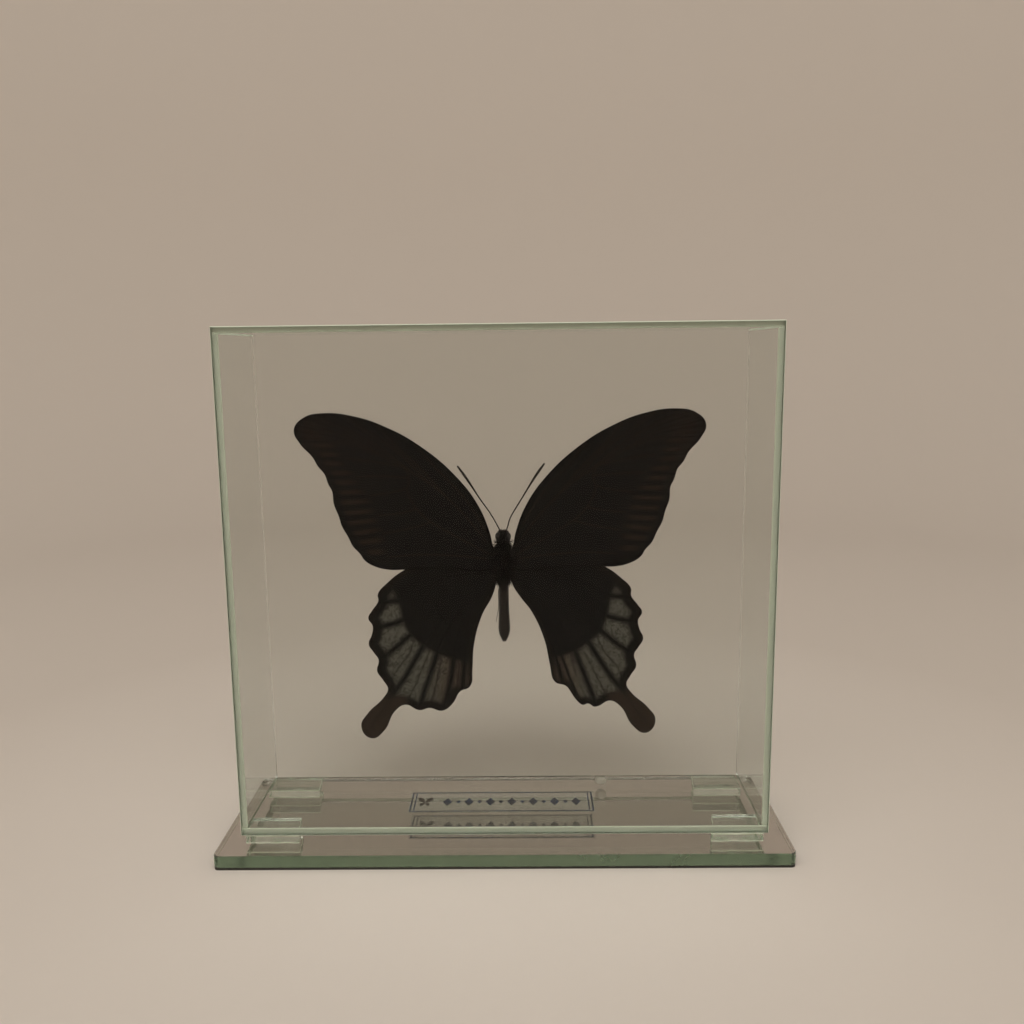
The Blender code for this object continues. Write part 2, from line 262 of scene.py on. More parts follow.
ANTENNAE = {
    "antenna_left": [(-0.8, 9.6), (-1.6, 11.3), (-4.3, 16.2), (-8.0, 21.6), (-11.5, 27.2), (-15.1, 32.4)],
    "antenna_right": [(0.8, 9.6), (1.5, 11.2), (2.7, 14.9), (6.4, 21.0), (10.9, 28.3), (14.2, 33.0)],
}
ANTENNA_RADII = [0.26, 0.24, 0.22, 0.22, 0.22, 0.23, 0.27, 0.40, 0.46, 0.30]
LEGS = {
    "leg_left": [(-1.0, 0.8, -7.0), (-1.9, 1.6, -12.0), (-1.9, 1.2, -17.0), (-2.9, 0.9, -22.3)],
    "leg_right": [(1.0, 1.4, -6.5), (1.5, 2.6, -11.5), (1.0, 2.9, -16.0), (1.3, 2.6, -19.0)],
}
LEG_RADII = [0.22, 0.16, 0.13, 0.11, 0.07]


# Small helpers

def link(obj):
    bpy.context.scene.collection.objects.link(obj)
    return obj


def piece(name, mesh, mats, nodes):
    """Adds a piece of the object that stands for CAD nodes and takes the given materials."""
    obj = link(bpy.data.objects.new(name, mesh))
    for mat in mats:
        obj.data.materials.append(mat)
    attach(obj, "root")
    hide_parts(*nodes)
    return obj


def mesh_from(name, verts, faces, smooth=True):
    mesh = bpy.data.meshes.new(name)
    mesh.from_pydata([tuple(v) for v in verts], [], faces)
    mesh.update()
    if smooth:
        mesh.shade_smooth()
    return mesh


def from_bmesh(name, shape):
    mesh = bpy.data.meshes.new(name)
    bmesh.ops.recalc_face_normals(shape, faces=shape.faces)
    shape.to_mesh(mesh)
    shape.free()
    return mesh


def ring_faces(around, rings, first=0, downwards=False):
    """Quads between rings of points, wound to face out whether the rings go up the form or down."""
    faces = []
    for ring in range(rings - 1):
        a = first + ring * around
        b = a + around
        for k in range(around):
            m = (k + 1) % around
            faces.append((a + k, b + k, b + m, a + m) if downwards else (a + k, a + m, b + m, b + k))
    return faces


def from_thorax(points):
    """Points in mm from the thorax's centre, as places in metres."""
    return [(x * MM + THORAX.x, y * MM + THORAX.y, z * MM + THORAX.z) for x, y, z in points]


def point_values(mesh, name, values):
    layer = mesh.attributes.new(name, "FLOAT", "POINT")
    layer.data.foreach_set("value", np.asarray(values, dtype=np.float32))


def smoothstep(low, high, x):
    t = np.clip((x - low) / (high - low), 0.0, 1.0)
    return t * t * (3.0 - 2.0 * t)


# Materials

class Paint:
    """Writes the nodes of one material."""

    def __init__(self, name):
        self.mat = bpy.data.materials.new(name)
        self.mat.use_nodes = True
        self.nodes = self.mat.node_tree.nodes
        self.links = self.mat.node_tree.links
        self.shader = self.nodes["Principled BSDF"]
        self.coords = None

    def set(self, **values):
        for key, value in values.items():
            self.put(self.shader.inputs[key.replace("_", " ")], value)

    def put(self, socket, value):
        if isinstance(value, bpy.types.NodeSocket):
            self.links.new(value, socket)
        elif isinstance(value, tuple) and socket.type == "RGBA":
            socket.default_value = (*value, 1.0)
        else:
            socket.default_value = value

    def place(self, stretch=None):
        """Object coordinates, stretched along the axes when asked."""
        if self.coords is None:
            self.coords = self.nodes.new("ShaderNodeTexCoord").outputs["Object"]
        if stretch is None:
            return self.coords
        mapping = self.nodes.new("ShaderNodeMapping")
        mapping.inputs["Scale"].default_value = stretch
        self.links.new(self.coords, mapping.inputs["Vector"])
        return mapping.outputs["Vector"]

    def noise(self, scale, detail, rough=0.55, stretch=None):
        node = self.nodes.new("ShaderNodeTexNoise")
        node.inputs["Scale"].default_value = scale
        node.inputs["Detail"].default_value = detail
        node.inputs["Roughness"].default_value = rough
        self.links.new(self.place(stretch), node.inputs["Vector"])
        return node.outputs["Fac"]

    def cells(self, scale):
        node = self.nodes.new("ShaderNodeTexVoronoi")
        node.inputs["Scale"].default_value = scale
        self.links.new(self.place(), node.inputs["Vector"])
        return node.outputs["Distance"]

    def attribute(self, name):
        node = self.nodes.new("ShaderNodeAttribute")
        node.attribute_name = name
        return node.outputs["Fac"]

    def spread(self, value, low, high, to_low=0.0, to_high=1.0):
        node = self.nodes.new("ShaderNodeMapRange")
        self.links.new(value, node.inputs["Value"])
        node.inputs["From Min"].default_value = low
        node.inputs["From Max"].default_value = high
        node.inputs["To Min"].default_value = to_low
        node.inputs["To Max"].default_value = to_high
        return node.outputs["Result"]

    def math(self, operation, a, b):
        node = self.nodes.new("ShaderNodeMath")
        node.operation = operation
        self.put(node.inputs[0], a)
        self.put(node.inputs[1], b)
        return node.outputs[0]

    def mix(self, factor, a, b):
        node = self.nodes.new("ShaderNodeMix")
        node.data_type = "RGBA"
        self.put(node.inputs[0], factor)
        self.put(node.inputs[6], a)
        self.put(node.inputs[7], b)
        return node.outputs[2]

    def bump(self, height, distance, strength):
        node = self.nodes.new("ShaderNodeBump")
        node.inputs["Strength"].default_value = strength
        node.inputs["Distance"].default_value = distance
        self.links.new(height, node.inputs["Height"])
        self.links.new(node.outputs["Normal"], self.shader.inputs["Normal"])

    def absorb(self, color, density):
        volume = self.nodes.new("ShaderNodeVolumeAbsorption")
        volume.inputs["Color"].default_value = (*color, 1.0)
        volume.inputs["Density"].default_value = density
        output = self.nodes["Material Output"]
        self.links.new(volume.outputs["Volume"], output.inputs["Volume"])


def grained(name, noise, colors, rough, relief=None, stretch=None, **values):
    """A material whose colour, roughness and relief follow one noise.

    noise is its scale and detail; rough is a low and high noise and the roughness at each; relief is
    a height in mm and its strength.
    """
    paint = Paint(name)
    grain = paint.noise(*noise, stretch=stretch)
    paint.set(Base_Color=paint.mix(grain, *colors), Roughness=paint.spread(grain, *rough), **values)
    if relief:
        paint.bump(grain, relief[0] * MM, relief[1])
    return paint


def float_glass(name, clear, tint, density, satin=0.0):
    """Faces of float glass, which is green through its edges: polished, or rubbed to a satin roughness."""
    paint = Paint(name)
    smear = paint.noise(45.0, 4.0)
    paint.set(
        Base_Color=paint.mix(smear, clear, tuple(c * 0.99 for c in clear)),
        Roughness=paint.spread(smear, 0.45, 0.75, satin, satin * 1.2 + 0.012),
        IOR=GLASS_IOR,
        Specular_Tint=GLASS_GLOSS,
        Transmission_Weight=1.0,
    )
    paint.absorb(tint, density)
    return paint.mat


def ground_glass(name, frost, clear, tint, density):
    """Cut or chipped edges of glass, ground so that they catch the light; clear is the see-through share."""
    colors = (0.80, 0.90, 0.77), (0.86, 0.96, 0.82)
    rough = (0.3, 0.7, frost * 0.8, frost * 1.2)
    paint = grained(name, (9000.0, 3.0), colors, rough, IOR=GLASS_IOR, Transmission_Weight=clear)
    paint.absorb(tint, density)
    return paint.mat


def offcut_glass():
    """The feet's glass: clear, with ripples where it broke."""
    paint = grained(
        "offcut_glass", (900.0, 3.0), ((0.95, 0.98, 0.955), (0.98, 0.99, 0.98)), (0.35, 0.8, 0.0, 0.08),
        (0.12, 0.5), (1.0, 1.0, 2.5), IOR=GLASS_IOR, Transmission_Weight=1.0,
    )
    paint.absorb(GLASS_TINT, GLASS_DENSITY)
    return paint.mat


def silvering():
    """Silver on the underside of the base's glass, with faint haze and specks."""
    paint = Paint("silvering")
    cloud = paint.noise(60.0, 4.0)
    specks = paint.cells(700.0)
    haze = paint.spread(cloud, 0.4, 0.8, 0.015, 0.05)
    dot = paint.spread(specks, 0.0, 0.05, 0.35, 0.0)
    paint.set(
        Base_Color=paint.mix(cloud, (0.91, 0.90, 0.89), (0.94, 0.93, 0.92)),
        Metallic=1.0,
        Roughness=paint.math("ADD", haze, dot),
    )
    return paint.mat


def backing_and_painted_shadow():
    """Dark protective paint on the back of the mirror, partly a painted contact shadow where the base meets
    the floor.
    """
    colors = (0.012, 0.012, 0.010), (0.035, 0.033, 0.028)
    return grained("backing_and_painted_shadow", (2500.0, 3.0), colors, (0.3, 0.7, 0.5, 0.8), (0.05, 0.5)).mat


def label_film():
    """Clear label film with a slight milky cast."""
    colors = (0.88, 0.93, 0.93), (0.92, 0.97, 0.965)
    rough = (0.3, 0.8, 0.0, 0.03)
    return grained("label_film", (500.0, 3.0), colors, rough, IOR=1.3, Transmission_Weight=0.94).mat


def ink(name, colors):
    return grained(name, (6000.0, 2.0), colors, (0.3, 0.7, 0.45, 0.65), Specular_IOR_Level=0.1).mat


def white_glue():
    return grained(
        "white_glue", (900.0, 4.0), ((0.95, 0.94, 0.90), (0.99, 0.985, 0.96)), (0.3, 0.7, 0.5, 0.7),
        (0.15, 0.5), IOR=1.45, Transmission_Weight=0.45,
    ).mat


def clear_glue():
    return grained(
        "clear_glue", (700.0, 3.0), ((0.96, 0.95, 0.90), (0.99, 0.99, 0.97)), (0.35, 0.8, 0.02, 0.10),
        (0.1, 0.4), IOR=1.47, Transmission_Weight=1.0,
    ).mat


def wing_scales(name, dark, brown, pale, underside):
    """Velvety scales: black ground, brown rays or tips, and a dusting of pale scales."""
    paint = Paint(name)
    rows = paint.noise(5200.0, 2.0)
    dust = paint.noise(1500.0, 2.0, 0.5)
    cloud = paint.noise(160.0, 4.0)
    dusted = paint.spread(dust, 0.38, 0.62, 0.50, 1.20)
    band = paint.math("MULTIPLY", paint.attribute("band"), dusted)
    band = paint.math("MULTIPLY", band, paint.spread(paint.noise(650.0, 4.0), 0.3, 0.7, 0.75, 1.25))
    warm = paint.math("MULTIPLY", paint.attribute("warm"), paint.spread(rows, 0.3, 0.7, 0.55, 1.0))
    ground = paint.mix(paint.spread(cloud, 0.3, 0.7), dark, tuple(c * 1.7 for c in dark))
    ground = paint.mix(warm, ground, brown)
    tone = paint.mix(paint.attribute("anal"), pale, (pale[0] * 0.85, pale[1] * 0.68, pale[2] * 0.62))
    color = paint.mix(band, ground, tone)
    color = paint.mix(paint.math("MULTIPLY", paint.attribute("vein"), 0.75), color, dark)
    color = paint.mix(paint.math("MULTIPLY", paint.attribute("stem"), 0.6), color, brown)
    paint.set(
        Base_Color=color,
        Roughness=paint.spread(rows, 0.3, 0.7, 0.62, 0.85),
        Specular_IOR_Level=0.22 if underside else 0.18,
        Sheen_Weight=0.06,
        Sheen_Roughness=0.35,
        Sheen_Tint=(0.75, 0.62, 0.5),
    )
    relief = paint.math("ADD", rows, paint.math("MULTIPLY", paint.attribute("vein"), 1.6))
    paint.bump(relief, 0.06 * MM, 0.9)
    return paint.mat


def cuticle():
    """Horny skin of head and thorax under the hair."""
    colors = (0.0018, 0.0016, 0.0014), (0.0084, 0.0066, 0.0060)
    rough = (0.3, 0.7, 0.5, 0.75)
    return grained("cuticle", (3200.0, 3.0), colors, rough, (0.08, 0.7), Specular_IOR_Level=0.1).mat


def abdomen_scales():
    """Brown-grey scales laid in rings along the abdomen."""
    paint = Paint("abdomen_scales")
    rows = paint.noise(3600.0, 2.0, stretch=(1.0, 1.0, 2.4))
    ring = paint.attribute("ring")
    shade = paint.attribute("side")
    base = paint.mix(paint.spread(rows, 0.3, 0.7), (0.0095, 0.0065, 0.0050), (0.022, 0.0160, 0.0130))
    base = paint.mix(paint.math("MULTIPLY", ring, 0.6), base, (0.008, 0.006, 0.005))
    base = paint.mix(paint.math("MULTIPLY", shade, 0.5), base, (0.030, 0.025, 0.021))
    paint.set(
        Base_Color=base,
        Roughness=paint.spread(rows, 0.3, 0.7, 0.55, 0.8),
        Specular_IOR_Level=0.25,
        Sheen_Weight=0.1,
    )
    paint.bump(rows, 0.10 * MM, 0.8)
    return paint.mat


def hair(name, dark, light):
    paint = Paint(name)
    tip = paint.attribute("tip")
    shade = paint.attribute("shade")
    paint.set(
        Base_Color=paint.mix(paint.math("MULTIPLY", tip, shade), dark, light),
        Roughness=paint.spread(shade, 0.0, 1.0, 0.55, 0.8),
        Specular_IOR_Level=0.04,
    )
    return paint.mat


def eye_shell():
    """Compound eye: dark, with fine facets and a dull shine."""
    paint = Paint("compound_eye")
    facets = paint.cells(9000.0)
    band = paint.noise(900.0, 2.0, stretch=(1.0, 1.0, 0.3))
    paint.set(
        Base_Color=paint.mix(band, (0.0018, 0.0018, 0.0018), (0.0096, 0.0072, 0.0060)),
        Roughness=paint.spread(facets, 0.0, 0.6, 0.35, 0.6),
        Specular_IOR_Level=0.35,
    )
    paint.bump(facets, 0.03 * MM, 0.6)
    return paint.mat


def studio_paint():
    paint = Paint("studio_paper")
    grain = paint.noise(220.0, 4.0)
    middle = paint.nodes.new("ShaderNodeVectorMath")
    middle.operation = "LENGTH"
    paint.links.new(paint.place(), middle.inputs[0])
    far = paint.spread(middle.outputs["Value"], *STUDIO_TURNS)
    low = tuple(c * 0.985 for c in STUDIO)
    near = paint.mix(grain, low, STUDIO)
    paint.set(
        Base_Color=paint.mix(far, near, STUDIO_FAR),
        Roughness=0.85,
        Specular_IOR_Level=0.2,
    )
    return paint.mat


# Studio, lights and camera

def make_camera():
    data = bpy.data.cameras.new("camera")
    data.lens = CAMERA_LENS
    data.sensor_width = CAMERA_SENSOR
    data.clip_start = 0.01
    camera = link(bpy.data.objects.new("camera", data))
    aim = Matrix.Rotation(math.radians(CAMERA_LEFT), 4, "Z")
    aim = aim @ Matrix.Rotation(math.radians(90.0 - CAMERA_DOWN), 4, "X")
    aim = aim @ Matrix.Rotation(math.radians(CAMERA_ROLL), 4, "Z")
    camera.matrix_world = Matrix.Translation(CAMERA_AT) @ aim
    bpy.context.scene.camera = camera


def make_studio():
    """A round paper cove: flat floor, quarter-circle sweep, upright wall."""
    profile = [(0.0, 0.0), (FLOOR_R, 0.0)]
    for i in range(1, 17):
        angle = math.pi / 2 * i / 16
        profile.append((FLOOR_R + COVE_R * math.sin(angle), COVE_R * (1.0 - math.cos(angle))))
    profile.append((FLOOR_R + COVE_R, WALL_H))
    steps = 96
    verts = [(0.0, 0.0, 0.0)]
    for radius, height in profile[1:]:
        for k in range(steps):
            turn = 2.0 * math.pi * k / steps
            verts.append((radius * math.cos(turn), radius * math.sin(turn), height))
    faces = [(0, 1 + k, 1 + (k + 1) % steps) for k in range(steps)]
    faces += ring_faces(steps, len(profile) - 1, 1, downwards=True)
    mesh = mesh_from("studio", verts, faces)
    mesh.materials.append(studio_paint())
    link(bpy.data.objects.new("studio", mesh))


def make_lights():
    data = bpy.data.lights.new("softbox", "AREA")
    data.shape = "RECTANGLE"
    data.size, data.size_y = LAMP_SIZE
    data.energy = LAMP_POWER
    data.color = LAMP_COLOR
    lamp = link(bpy.data.objects.new("softbox", data))
    lamp.location = LAMP_AT
    look = Vector(LAMP_AIM) - Vector(LAMP_AT)
    lamp.rotation_euler = look.to_track_quat("-Z", "Y").to_euler()
    world = bpy.data.worlds.new("sky")
    world.use_nodes = True
    sky = world.node_tree.nodes["Background"]
    sky.inputs["Color"].default_value = (*SKY, 1.0)
    sky.inputs["Strength"].default_value = SKY_STRENGTH
    bpy.context.scene.world = world


def set_view():
    scene = bpy.context.scene
    scene.view_settings.view_transform = "Standard"
    scene.cycles.max_bounces = BOUNCES
    scene.cycles.transmission_bounces = BOUNCES
    scene.cycles.glossy_bounces = BOUNCES
    scene.cycles.blur_glossy = 0.0    # light that comes through clear panes is not blurred


# Glass case and base

def pane(name, lo, hi, mats, nodes):
    """A sheet of glass between two corners. Its faces and glued back edge are polished, the rest ground."""
    shape = bmesh.new()
    bmesh.ops.create_cube(shape, size=1.0)
    size = Vector(hi) - Vector(lo)
    bmesh.ops.scale(shape, vec=size, verts=shape.verts)
    bmesh.ops.translate(shape, vec=(Vector(hi) + Vector(lo)) / 2, verts=shape.verts)
    bmesh.ops.bevel(shape, geom=list(shape.edges), offset=ARRIS, segments=1, affect="EDGES")
    mesh = from_bmesh(name, shape)
    thin = min(range(3), key=lambda axis: size[axis])
    for face in mesh.polygons:
        square = max(map(abs, face.normal)) > 0.99
        face.material_index = (0 if abs(face.normal[thin]) > 0.99 else 1) if square else 2
        if face.normal.y > 0.5 and thin != 1:
            face.material_index = 0
    piece(name, mesh, mats, nodes)


def make_case():
    """Front and back run full size; top and floor fit between them, and the sides between those."""
    glass = [
        float_glass("float_glass", GLASS_CLEAR, GLASS_TINT, GLASS_DENSITY),
        ground_glass("cut_edge", 0.35, 0.22, GLASS_TINT, GLASS_DENSITY),
        ground_glass("ground_arris", 0.50, 0.06, GLASS_TINT, GLASS_DENSITY),
    ]
    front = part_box("case_front")
    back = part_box("case_back")
    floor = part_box("case_floor")
    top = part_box("case_top")
    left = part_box("case_left")
    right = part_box("case_right")
    y0 = front[1].y + JOINT
    y1 = back[0].y - JOINT
    z0 = floor[1].z + JOINT
    z1 = top[0].z - JOINT
    pane("front_pane", front[0], front[1], glass, ["case_front"])
    pane("back_pane", back[0], back[1], glass, ["case_back"])
    pane("floor_pane", (floor[0].x, y0, floor[0].z), (floor[1].x, y1, floor[1].z), glass, ["case_floor"])
    pane("top_pane", (top[0].x, y0, top[0].z), (top[1].x, y1, top[1].z), glass, ["case_top"])
    pane("left_pane", (left[0].x, y0, z0), (left[1].x, y1, z1), glass, ["case_left"])
    pane("right_pane", (right[0].x, y0, z0), (right[1].x, y1, z1), glass, ["case_right"])


def rounded_slab(name, width, depth, z0, z1, corner, arris):
    """A slab with round corners in plan and, when asked, an arris top and bottom."""
    steps = 8
    ring = []
    for quarter, (sx, sy) in enumerate([(1, 1), (-1, 1), (-1, -1), (1, -1)]):
        cx = sx * (width / 2 - corner)
        cy = sy * (depth / 2 - corner)
        for i in range(steps + 1):
            angle = math.pi / 2 * (quarter + i / steps)
            ring.append((cx + corner * math.cos(angle), cy + corner * math.sin(angle)))
    shape = bmesh.new()
    low = [shape.verts.new((x, y, z0)) for x, y in ring]
    high = [shape.verts.new((x, y, z1)) for x, y in ring]
    n = len(ring)
    shape.faces.new(low[::-1])
    shape.faces.new(high)
    for i in range(n):
        shape.faces.new((low[i], low[(i + 1) % n], high[(i + 1) % n], high[i]))
    if arris:
        rims = [e for e in shape.edges if abs(e.verts[0].co.z - e.verts[1].co.z) < 1e-9]
        bmesh.ops.bevel(shape, geom=rims, offset=arris, segments=2, profile=0.5, affect="EDGES")
    mesh = from_bmesh(name, shape)
    for face in mesh.polygons:
        around = max(abs(face.normal.x), abs(face.normal.y))
        face.use_smooth = 0.01 < min(abs(face.normal.x), abs(face.normal.y)) and around > 0.3
    mesh.set_sharp_from_angle(angle=math.radians(18.0))
    return mesh


def make_base():
    lo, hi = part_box("mirror_base")
    width = hi.x - lo.x
    depth = hi.y - lo.y
    plate = rounded_slab("base_glass", width, depth, BACKING_AND_SHADOW_T, hi.z, BASE_CORNER, BASE_ARRIS)
    for face in plate.polygons:
        if face.normal.z < -0.99:
            face.material_index = 2
        elif face.normal.z > 0.99:
            face.material_index = 3
        elif abs(face.normal.x) > 0.99:
            face.material_index = 4
        elif abs(face.normal.z) < 0.1:
            face.material_index = 0
        else:
            face.material_index = 1
    glass = [
        float_glass("base_edge", BASE_CLEAR, BASE_TINT, BASE_DENSITY, BASE_SATIN),
        ground_glass("base_arris", 0.45, 0.92, BASE_TINT, BASE_DENSITY),
        silvering(),
        # the top face's tint is painted shade that dims the mirror's reflection
        float_glass("base_top", BASE_TOP_PAINTED_SHADE, BASE_TINT, BASE_DENSITY),
        float_glass("base_end", BASE_CLEAR, BASE_TINT, BASE_DENSITY),
    ]
    piece("base_glass", plate, glass, ["mirror_base"])
    # The dark layer under the glass is backing paint and, in part, painted contact shadow under the base.
    coat = rounded_slab(
        "mirror_coat_and_shadow", width - 2 * BACKING_AND_SHADOW_INSET, depth - 2 * BACKING_AND_SHADOW_INSET, 0.0, BACKING_AND_SHADOW_T - BACKING_AND_SHADOW_GAP,
        BASE_CORNER - BACKING_AND_SHADOW_INSET, 0.0,
    )
    piece("mirror_coat_and_shadow", coat, [backing_and_painted_shadow()], ["mirror_base"])


def broken_side(rng, size):
    """Sideways wander of a broken edge, as a sum of a few waves."""
    waves = [(rng.uniform(1.0, 5.0), rng.uniform(0.0, 6.28), rng.uniform(0.3, 1.0)) for _ in range(4)]

    def wander(t):
        return size * sum(a * math.sin(2 * math.pi * f * t + p) / f for f, p, a in waves)

    return wander


def foot(name, corners, z0, z1, mats, seed):
    """A glass offcut: two flat faces, cut or broken sides with a wavy break line."""
    rng = random.Random(seed)
    sides = []
    for i in range(4):
        a = Vector(corners[i])
        b = Vector(corners[(i + 1) % 4])
        along = (b - a).normalized()
        out = Vector((along.y, -along.x))
        sides.append((a, b, out, [broken_side(rng, FOOT_WANDER) for _ in range(2)]))
    verts = []
    for v in FOOT_LEVELS:
        swell = FOOT_SWELL * math.sin(math.pi * v) ** 0.6
        for a, b, out, (low, high) in sides:
            for k in range(FOOT_STEPS):
                t = k / FOOT_STEPS
                shift = (low(t) * (1 - v) + high(t) * v) * math.sin(math.pi * t) ** 0.5 + swell
                p = a.lerp(b, t) + out * shift
                verts.append((p.x * MM, p.y * MM, z0 + (z1 - z0) * v))
    n = 4 * FOOT_STEPS
    levels = len(FOOT_LEVELS)
    faces = [tuple(range(n))[::-1], tuple(range((levels - 1) * n, levels * n))]
    faces += ring_faces(n, levels)
    mesh = mesh_from(name, verts, faces)
    mesh.set_sharp_from_angle(angle=math.radians(35.0))
    for i, face in enumerate(mesh.polygons):
        face.material_index = 1 if i >= 2 and (i - 2) // n in (0, levels - 2) else 0
    piece(name, mesh, mats, [NODE_OF_FOOT[name]])


def make_feet():
    mats = [offcut_glass(), ground_glass("chipped_rim", 0.50, 0.03, GLASS_TINT, GLASS_DENSITY)]
    z0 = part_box("mirror_base")[1].z + FOOT_GAP
    z1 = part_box("case_floor")[0].z - FOOT_GAP
    for seed, (name, node) in enumerate(NODE_OF_FOOT.items()):
        outer, inner_front, inner_back, front, back = FEET[node]
        corners = [(outer, front), (inner_front, front), (inner_back, back), (outer, back)]
        if outer > 0:
            corners = [(inner_front, front), (outer, front), (outer, back), (inner_back, back)]
        foot(name, corners, z0, z1, mats, seed + 11)


# Label and glue

def flat_sheet(name, loops, z0, z1):
    """Thin sheets from flat outlines given in metres."""
    verts = []
    faces = []
    for loop in loops:
        n = len(loop)
        start = len(verts)
        verts += [(x, y, z0) for x, y in loop]
        verts += [(x, y, z1) for x, y in loop]
        faces.append(tuple(start + i for i in range(n))[::-1])
        faces.append(tuple(start + n + i for i in range(n)))
        faces += [
            (start + i, start + (i + 1) % n, start + n + (i + 1) % n, start + n + i) for i in range(n)
        ]
    return mesh_from(name, verts, faces, smooth=False)


def frame_strips(x0, y0, x1, y1, t):
    """Four strips round a rectangle, each t wide."""
    return [
        [(x0, y0), (x1, y0), (x1, y0 + t), (x0, y0 + t)],
        [(x0, y1 - t), (x1, y1 - t), (x1, y1), (x0, y1)],
        [(x0, y0 + t), (x0 + t, y0 + t), (x0 + t, y1 - t), (x0, y1 - t)],
        [(x1 - t, y0 + t), (x1, y0 + t), (x1, y1 - t), (x1 - t, y1 - t)],
    ]


def printed_butterfly(cx, cy, wide, tall):
    """A small plain butterfly mark: two upper and two lower wings."""
    upper = [(0.0, 0.05), (0.25, 0.55), (0.75, 0.80), (1.0, 0.62), (0.80, 0.15), (0.30, -0.05)]
    lower = [(0.0, -0.02), (0.32, -0.10), (0.62, -0.30), (0.50, -0.72), (0.22, -0.62), (0.05, -0.25)]
    loops = []
    for outline in (upper, lower):
        loops.append([(cx + x * wide, cy + y * tall) for x, y in outline][::-1])
        loops.append([(cx - x * wide, cy + y * tall) for x, y in outline])
    return loops


def ornament(cx, cy, length):
    """A plain border strip: tall and small lozenges by turns."""
    loops = []
    for i in range(LOZENGES):
        x = cx + length * (i / (LOZENGES - 1) - 0.5)
        wide, tall = LOZENGE[i % 2]
        loops.append([(x + wide, cy), (x, cy + tall), (x - wide, cy), (x, cy - tall)])
    return loops


def make_label():
    lo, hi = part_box("label")
    film_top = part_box("case_floor")[0].z - FILM_GAP
    film = [[(lo.x, lo.y), (hi.x, lo.y), (hi.x, hi.y), (lo.x, hi.y)]]
    sheet = flat_sheet("label_sheet", film, film_top - FILM_T, film_top)
    piece("label_sheet", sheet, [label_film()], ["label"])
    x0, x1 = lo.x + PRINT_MARGIN, hi.x - PRINT_MARGIN
    y0, y1 = lo.y + PRINT_MARGIN, hi.y - PRINT_MARGIN
    blue = frame_strips(x0, y0, x1, y1, FRAME_LINE)
    for x in (x0 + BAR_IN, x1 - BAR_IN - BAR_LINE):
        low, high = y0 + BAR_END, y1 - BAR_END
        blue.append([(x, low), (x + BAR_LINE, low), (x + BAR_LINE, high), (x, high)])
    cy = (lo.y + hi.y) / 2
    blue += ornament((lo.x + hi.x) / 2 + ORNAMENT_X, cy, ORNAMENT_LENGTH)
    mark = printed_butterfly(lo.x + MARK_X, cy, *MARK_SIZE)
    for name, loops, colors in (
        ("label_lines", blue, ("blue_ink", BLUE_INK)),
        ("label_figure", mark, ("brown_ink", BROWN_INK)),
    ):
        sheet = flat_sheet(name, loops, film_top + INK_GAP, film_top + INK_T)
        piece(name, sheet, [ink(*colors)], ["label"])


def lathe(name, profile, steps, wobble, seed):
    """A mesh of revolution about Z from (radius, height), with a lumpy wobble."""
    rng = random.Random(seed)
    phases = [rng.uniform(0.0, 6.28) for _ in range(4)]
    verts = []
    for radius, height in profile:
        for k in range(steps):
            turn = 2.0 * math.pi * k / steps
            lump = 1.0
            for m, phase in enumerate(phases):
                lump += wobble * math.sin((m + 2) * turn + phase + height * 900.0) / (m + 1)
            verts.append((radius * lump * math.cos(turn), radius * lump * math.sin(turn), height))
    rings = len(profile)
    faces = [tuple(range(steps))[::-1], tuple(range((rings - 1) * steps, rings * steps))]
    faces += ring_faces(steps, rings)
    mesh = mesh_from(name, verts, faces)
    mesh.set_sharp_from_angle(angle=math.radians(40.0))
    return mesh


def make_glue():
    lo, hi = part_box("glue_blob")
    centre = (lo + hi) / 2
    z0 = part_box("mirror_base")[1].z + GLUE_GAP
    z1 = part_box("case_floor")[0].z - GLUE_GAP
    height = z1 - z0
    profile = []
    steps = 12
    for i in range(steps + 1):
        t = i / steps
        profile.append(((SPOT_R + SPOT_BULGE * math.sin(math.pi * t) ** 0.8) * MM, z0 + height * t))
    mesh = lathe("glue_spot", profile, 40, 0.09, 5)
    mesh.transform(Matrix.Translation((centre.x, centre.y, 0.0)))
    piece("glue_spot", mesh, [white_glue()], ["glue_blob"])


def make_mount():
    """A clear drop that holds the thorax to the back pane, necked in its middle."""
    front = THORAX.y + CHEST_HALF * MM * BODY_DEPTH
    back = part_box("case_back")[0].y - GLUE_GAP
    depth = back - front
    profile = []
    steps = 14
    for i in range(steps + 1):
        t = i / steps
        radius = DROP_NECK + DROP_FLARE * (2 * t - 1) ** 2 * (0.55 + 0.45 * t)
        profile.append((radius * MM, depth * t))
    mesh = lathe("thorax_glue", profile, 40, 0.04, 8)
    turn = Matrix.Translation((THORAX.x, front, THORAX.z)) @ Matrix.Rotation(-math.pi / 2, 4, "X")
    mesh.transform(turn)
    piece("thorax_glue", mesh, [clear_glue()], ["mounting_glue"])


# Wings

def smooth_outline(points, steps=8):
    """A closed smooth curve through the points, as Blender's automatic handles draw it."""
    curve = bpy.data.curves.new("outline", "CURVE")
    curve.dimensions = "2D"
    curve.fill_mode = "NONE"
    curve.resolution_u = steps
    spline = curve.splines.new("BEZIER")
    spline.bezier_points.add(len(points) - 1)
    for knot, (x, z) in zip(spline.bezier_points, points):
        knot.co = (x, z, 0.0)
        knot.handle_left_type = "AUTO"
        knot.handle_right_type = "AUTO"
    spline.use_cyclic_u = True
    obj = link(bpy.data.objects.new("outline", curve))
    mesh = obj.to_mesh()
    found = [(v.co.x, v.co.y) for v in mesh.vertices]
    obj.to_mesh_clear()
    bpy.data.objects.remove(obj)
    bpy.data.curves.remove(curve)
    return np.array(found)


